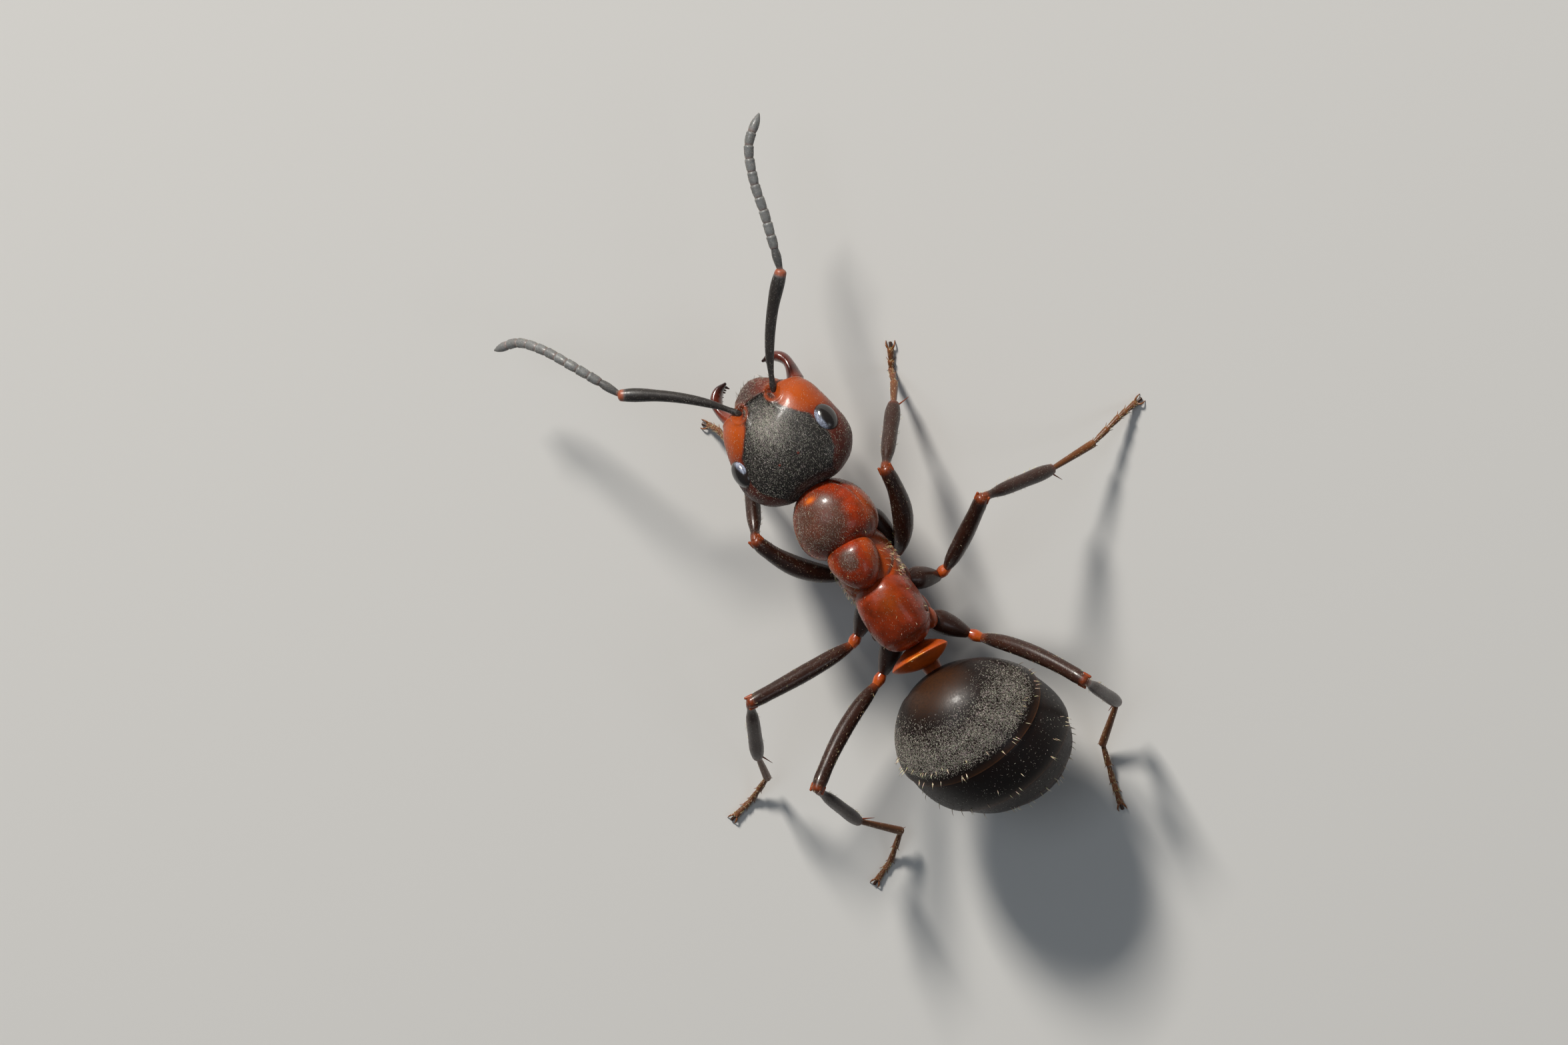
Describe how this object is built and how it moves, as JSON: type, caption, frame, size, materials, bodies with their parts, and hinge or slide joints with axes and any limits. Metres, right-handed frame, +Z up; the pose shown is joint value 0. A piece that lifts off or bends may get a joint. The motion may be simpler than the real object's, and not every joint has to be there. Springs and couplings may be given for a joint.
{
  "type": "red wood ant",
  "caption": "Red wood ant worker, standing: dark head and gaster, rust-red trunk, upright orange petiole scale, open jaws, long elbowed antennae and slender legs.",
  "frame": {"origin": "on the floor, under the middle of the model's outline seen from above", "axes": "+Z up from the floor; -Y the way the ant faces; +X the ant's left"},
  "size_m": [0.01, 0.0138, 0.0033],
  "materials": {
    "head_cuticle": "dark grey-brown cuticle with fine pale down, rust-red cheeks",
    "eye": "black, glossy, finely faceted",
    "jaw": "very glossy dark red-brown, black at the teeth",
    "antenna": "dark grey-brown, softly glossy under fine down",
    "trunk_cuticle": "glossy rust red with grey-brown patches on the back",
    "scale_cuticle": "glossy translucent orange",
    "gaster_cuticle": "black-brown under pale down, glossy at the hind plates",
    "leg_cuticle": "dark brown, redder below, with short bristles",
    "joint_cuticle": "glossy orange-red"
  },
  "bodies": {
    "root": {"head": "head_cuticle", "eye_l": "eye", "eye_r": "eye", "mandible_l": "jaw", "mandible_r": "jaw", "mouthparts": "jaw", "scape_l": "antenna", "pedicel_l": "antenna", "flagellum_l": "antenna", "scape_r": "antenna", "pedicel_r": "antenna", "flagellum_r": "antenna", "neck": "trunk_cuticle", "pronotum": "trunk_cuticle", "mesonotum": "trunk_cuticle", "mesopleura": "trunk_cuticle", "propodeum": "trunk_cuticle", "peduncle": "trunk_cuticle", "petiole_scale": "scale_cuticle", "gaster_1": "gaster_cuticle", "gaster_2": "gaster_cuticle", "gaster_3": "gaster_cuticle", "gaster_4": "gaster_cuticle", "gaster_5": "gaster_cuticle", "coxa_fore_l": "leg_cuticle", "trochanter_fore_l": "joint_cuticle", "femur_fore_l": "leg_cuticle", "tibia_fore_l": "leg_cuticle", "tarsus_fore_l": "leg_cuticle", "coxa_fore_r": "leg_cuticle", "trochanter_fore_r": "joint_cuticle", "femur_fore_r": "leg_cuticle", "tibia_fore_r": "leg_cuticle", "tarsus_fore_r": "leg_cuticle", "coxa_mid_l": "leg_cuticle", "trochanter_mid_l": "joint_cuticle", "femur_mid_l": "leg_cuticle", "tibia_mid_l": "leg_cuticle", "tarsus_mid_l": "leg_cuticle", "coxa_mid_r": "leg_cuticle", "trochanter_mid_r": "joint_cuticle", "femur_mid_r": "leg_cuticle", "tibia_mid_r": "leg_cuticle", "tarsus_mid_r": "leg_cuticle", "coxa_hind_l": "leg_cuticle", "trochanter_hind_l": "joint_cuticle", "femur_hind_l": "leg_cuticle", "tibia_hind_l": "leg_cuticle", "tarsus_hind_l": "leg_cuticle", "coxa_hind_r": "leg_cuticle", "trochanter_hind_r": "joint_cuticle", "femur_hind_r": "leg_cuticle", "tibia_hind_r": "leg_cuticle", "tarsus_hind_r": "leg_cuticle"}
  },
  "joints": []
}
